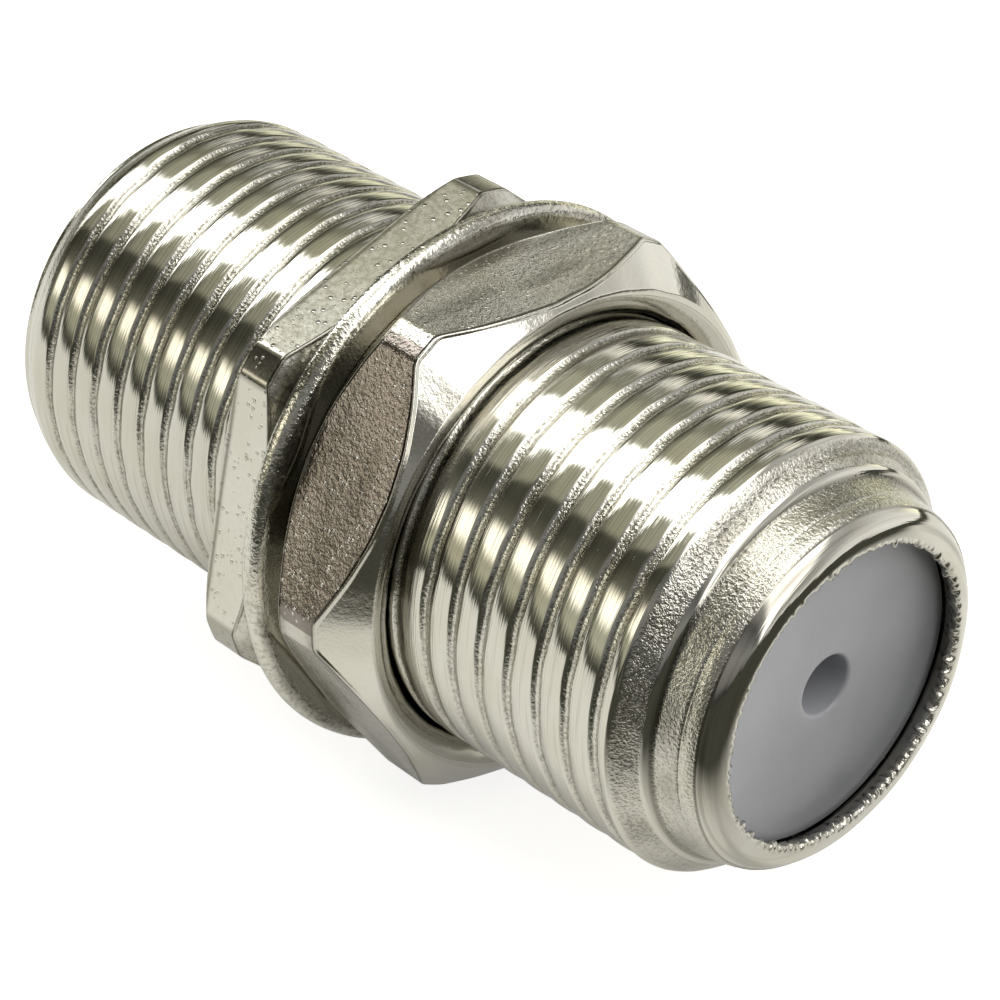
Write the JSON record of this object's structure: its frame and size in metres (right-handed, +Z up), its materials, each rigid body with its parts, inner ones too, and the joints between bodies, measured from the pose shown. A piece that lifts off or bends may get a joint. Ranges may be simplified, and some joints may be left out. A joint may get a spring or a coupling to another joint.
{
  "type": "f connector",
  "caption": "Bulkhead coaxial coupler: threaded socket barrels at both ends of a hex flange, slotted spring contact inside, with a washer and a hex panel nut.",
  "frame": {"origin": "on the barrels' axis, in the seat face of the hex flange, where the panel or the washer bears", "axes": "+X along the axis, out of the long barrel that passes through the panel; +Z up, the nut's flats level"},
  "size_m": [0.0204, 0.0124, 0.0124],
  "materials": {
    "body_nickel": "nickel plate over die-cast zinc, threads finely ribbed, flats slightly grained",
    "washer_nickel": "nickel plate over stamped steel, bright",
    "nut_nickel": "nickel plate over die-cast zinc, flats grained like orange peel",
    "insulator": "natural translucent polyethylene, matte",
    "contact": "plain brass, semi-bright"
  },
  "bodies": {
    "body": {"body": "body_nickel", "front_insulator": "insulator", "rear_insulator": "insulator", "contact": "contact"},
    "washer": {"washer": "washer_nickel"},
    "nut": {"nut": "nut_nickel"}
  },
  "joints": [
    {"name": "washer_slide", "type": "slide", "parent": "body", "child": "washer", "axis": [1, 0, 0], "range_m": [0, 0.00556]},
    {"name": "nut_spin", "type": "hinge", "parent": "washer", "child": "nut", "pos_m": [0.00185, 0, 0], "axis": [1, 0, 0], "range_deg": [0, 2520]}
  ],
  "couplings": [
    {"joint": "nut_spin", "follows": "washer_slide", "rad_per_m": 7915.8}
  ]
}
